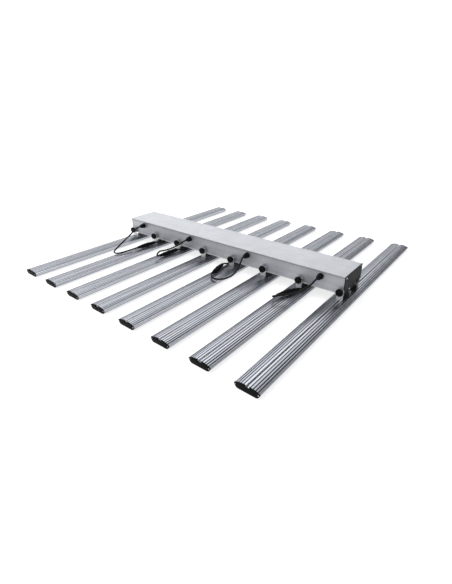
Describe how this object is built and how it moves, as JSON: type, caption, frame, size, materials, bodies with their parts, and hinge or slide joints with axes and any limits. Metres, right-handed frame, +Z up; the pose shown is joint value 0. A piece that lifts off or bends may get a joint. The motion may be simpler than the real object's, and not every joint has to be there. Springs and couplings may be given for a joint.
{
  "type": "led grow light",
  "caption": "LED grow light: parallel extruded aluminium light bars clamped under one long driver housing with thumbscrews and short plug-in leads.",
  "frame": {"origin": "on the surface the light lies on, at the middle of its outline, under the middle of the driver housing", "axes": "+X along the driver housing, +Y along the light bars away from the thumbscrews, +Z up, away from the LEDs"},
  "size_m": [1.05, 1.1, 0.1],
  "materials": {
    "bar_aluminium": "extruded aluminium with fine lengthwise die lines, satin",
    "cap_plastic": "black moulded plastic, fine texture",
    "led_board": "white solder-masked aluminium-core board",
    "led_emitter": "small LED packages with yellow phosphor, unlit",
    "chassis_aluminium": "folded aluminium plate, lightly brushed",
    "housing_aluminium": "silver anodised aluminium with faint lengthwise grain",
    "end_plate_paint": "black powder coat",
    "knob_plastic": "black nylon thumbscrew head, fluted grip",
    "gland_plastic": "black nylon cable gland",
    "cable_jacket": "black round rubber cable jacket",
    "connector_plastic": "black moulded in-line connector, ribbed strain relief",
    "driver_case": "plain aluminium driver case",
    "terminal_plastic": "cream moulded terminal strip",
    "screw_steel": "small plated screws"
  },
  "bodies": {
    "frame": {"heat_sink_1": "bar_aluminium", "led_board_1": "led_board", "end_cap_front_1": "cap_plastic", "end_cap_rear_1": "cap_plastic", "heat_sink_2": "bar_aluminium", "led_board_2": "led_board", "end_cap_front_2": "cap_plastic", "end_cap_rear_2": "cap_plastic", "heat_sink_3": "bar_aluminium", "led_board_3": "led_board", "end_cap_front_3": "cap_plastic", "end_cap_rear_3": "cap_plastic", "heat_sink_4": "bar_aluminium", "led_board_4": "led_board", "end_cap_front_4": "cap_plastic", "end_cap_rear_4": "cap_plastic", "heat_sink_5": "bar_aluminium", "led_board_5": "led_board", "end_cap_front_5": "cap_plastic", "end_cap_rear_5": "cap_plastic", "heat_sink_6": "bar_aluminium", "led_board_6": "led_board", "end_cap_front_6": "cap_plastic", "end_cap_rear_6": "cap_plastic", "heat_sink_7": "bar_aluminium", "led_board_7": "led_board", "end_cap_front_7": "cap_plastic", "end_cap_rear_7": "cap_plastic", "heat_sink_8": "bar_aluminium", "led_board_8": "led_board", "end_cap_front_8": "cap_plastic", "end_cap_rear_8": "cap_plastic", "base_chassis": "chassis_aluminium", "housing_cover": "housing_aluminium", "end_plate_left": "end_plate_paint", "end_plate_right": "end_plate_paint", "led_driver_left": "driver_case", "led_driver_right": "driver_case", "terminal_block": "terminal_plastic", "mains_gland": "gland_plastic", "output_gland_1": "gland_plastic", "lead_cord_1": "cable_jacket", "lead_connector_1": "connector_plastic", "output_gland_2": "gland_plastic", "lead_cord_2": "cable_jacket", "lead_connector_2": "connector_plastic", "output_gland_3": "gland_plastic", "lead_cord_3": "cable_jacket", "lead_connector_3": "connector_plastic", "output_gland_4": "gland_plastic", "lead_cord_4": "cable_jacket", "lead_connector_4": "connector_plastic"},
    "knob_1": {"thumb_knob_1": "knob_plastic"},
    "knob_2": {"thumb_knob_2": "knob_plastic"},
    "knob_3": {"thumb_knob_3": "knob_plastic"},
    "knob_4": {"thumb_knob_4": "knob_plastic"},
    "knob_5": {"thumb_knob_5": "knob_plastic"},
    "knob_6": {"thumb_knob_6": "knob_plastic"},
    "knob_7": {"thumb_knob_7": "knob_plastic"},
    "knob_8": {"thumb_knob_8": "knob_plastic"}
  },
  "joints": [
    {"name": "knob_1_turn", "type": "hinge", "parent": "frame", "child": "knob_1", "pos_m": [-0.49, -0.076, 0.0495], "axis": [0, -1, 0], "range_deg": [0, 1080]},
    {"name": "knob_2_turn", "type": "hinge", "parent": "frame", "child": "knob_2", "pos_m": [-0.35, -0.076, 0.0495], "axis": [0, -1, 0], "range_deg": [0, 1080]},
    {"name": "knob_3_turn", "type": "hinge", "parent": "frame", "child": "knob_3", "pos_m": [-0.21, -0.076, 0.0495], "axis": [0, -1, 0], "range_deg": [0, 1080]},
    {"name": "knob_4_turn", "type": "hinge", "parent": "frame", "child": "knob_4", "pos_m": [-0.07, -0.076, 0.0495], "axis": [0, -1, 0], "range_deg": [0, 1080]},
    {"name": "knob_5_turn", "type": "hinge", "parent": "frame", "child": "knob_5", "pos_m": [0.07, -0.076, 0.0495], "axis": [0, -1, 0], "range_deg": [0, 1080]},
    {"name": "knob_6_turn", "type": "hinge", "parent": "frame", "child": "knob_6", "pos_m": [0.21, -0.076, 0.0495], "axis": [0, -1, 0], "range_deg": [0, 1080]},
    {"name": "knob_7_turn", "type": "hinge", "parent": "frame", "child": "knob_7", "pos_m": [0.35, -0.076, 0.0495], "axis": [0, -1, 0], "range_deg": [0, 1080]},
    {"name": "knob_8_turn", "type": "hinge", "parent": "frame", "child": "knob_8", "pos_m": [0.49, -0.076, 0.0495], "axis": [0, -1, 0], "range_deg": [0, 1080]}
  ]
}
